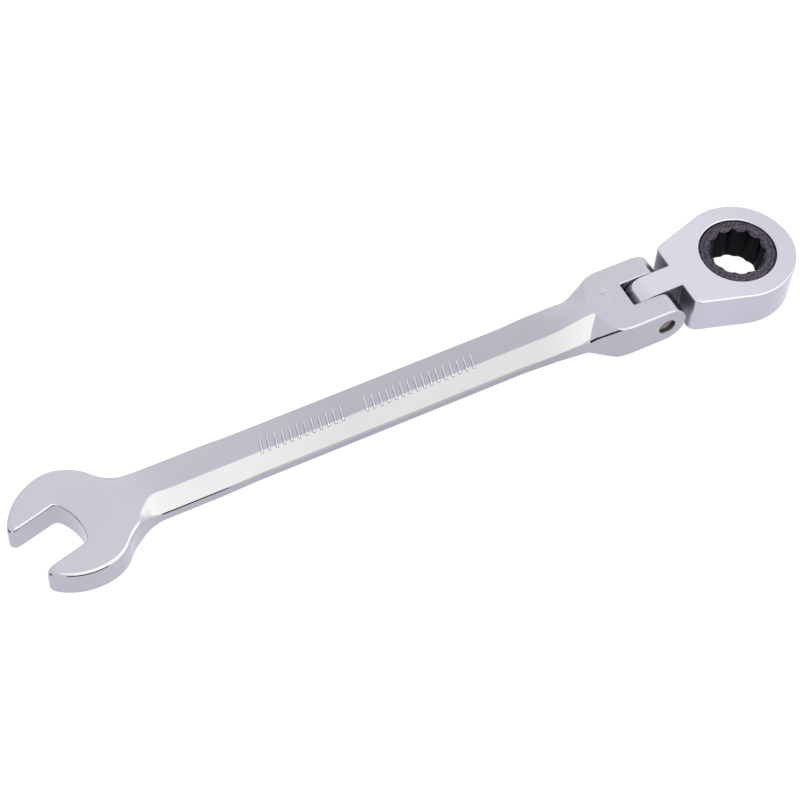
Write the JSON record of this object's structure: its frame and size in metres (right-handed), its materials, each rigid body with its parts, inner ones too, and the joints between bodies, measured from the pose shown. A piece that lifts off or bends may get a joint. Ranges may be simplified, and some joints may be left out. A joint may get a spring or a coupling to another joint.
{
  "type": "ratchet wrench",
  "caption": "Flex-head combination ratchet wrench: open jaw at one end, hinged ratchet ring with a 12-point socket at the other.",
  "frame": {"origin": "centre of the ratchet ring's drive socket, at mid thickness", "axes": "+Z along the socket's turning axis, out of the face that carries the arrow on the hinge; the handle runs along -X to the open jaw; the hinge pin lies along Y"},
  "size_m": [0.1646, 0.0236, 0.0088],
  "materials": {
    "chrome_handle": "satin-polished chrome plate",
    "chrome_head": "satin-polished chrome plate",
    "dark_gear": "phosphated dark steel with a thin film of oil",
    "spring_steel": "oiled spring steel",
    "pin_steel": "ground steel, slightly stained"
  },
  "bodies": {
    "handle": {"handle": "chrome_handle", "hinge_pin": "pin_steel", "detent_spring": "spring_steel"},
    "ratchet_head": {"ratchet_head": "chrome_head", "retaining_ring": "spring_steel", "pawl_spring": "spring_steel"},
    "drive_gear": {"drive_gear": "dark_gear"},
    "pawl": {"pawl": "dark_gear"},
    "detent_ball": {"detent_ball": "pin_steel"}
  },
  "joints": [
    {"name": "head_flex", "type": "hinge", "parent": "handle", "child": "ratchet_head", "pos_m": [-0.0203, 0, 0], "axis": [0, 1, 0], "range_deg": [-90, 90]},
    {"name": "gear_spin", "type": "hinge", "parent": "ratchet_head", "child": "drive_gear", "pos_m": [0, 0, 0], "axis": [0, 0, 1], "continuous": true},
    {"name": "pawl_slide", "type": "slide", "parent": "ratchet_head", "child": "pawl", "axis": [-1, 0, 0], "range_m": [0, 0.0006], "stiffness_N_per_m": 600, "springref_m": -0.0005, "deforming": ["pawl_spring"]},
    {"name": "detent_slide", "type": "slide", "parent": "handle", "child": "detent_ball", "axis": [-1, 0, 0], "range_m": [0, 0.0004], "stiffness_N_per_m": 1500, "springref_m": -0.0005, "deforming": ["detent_spring"]}
  ]
}
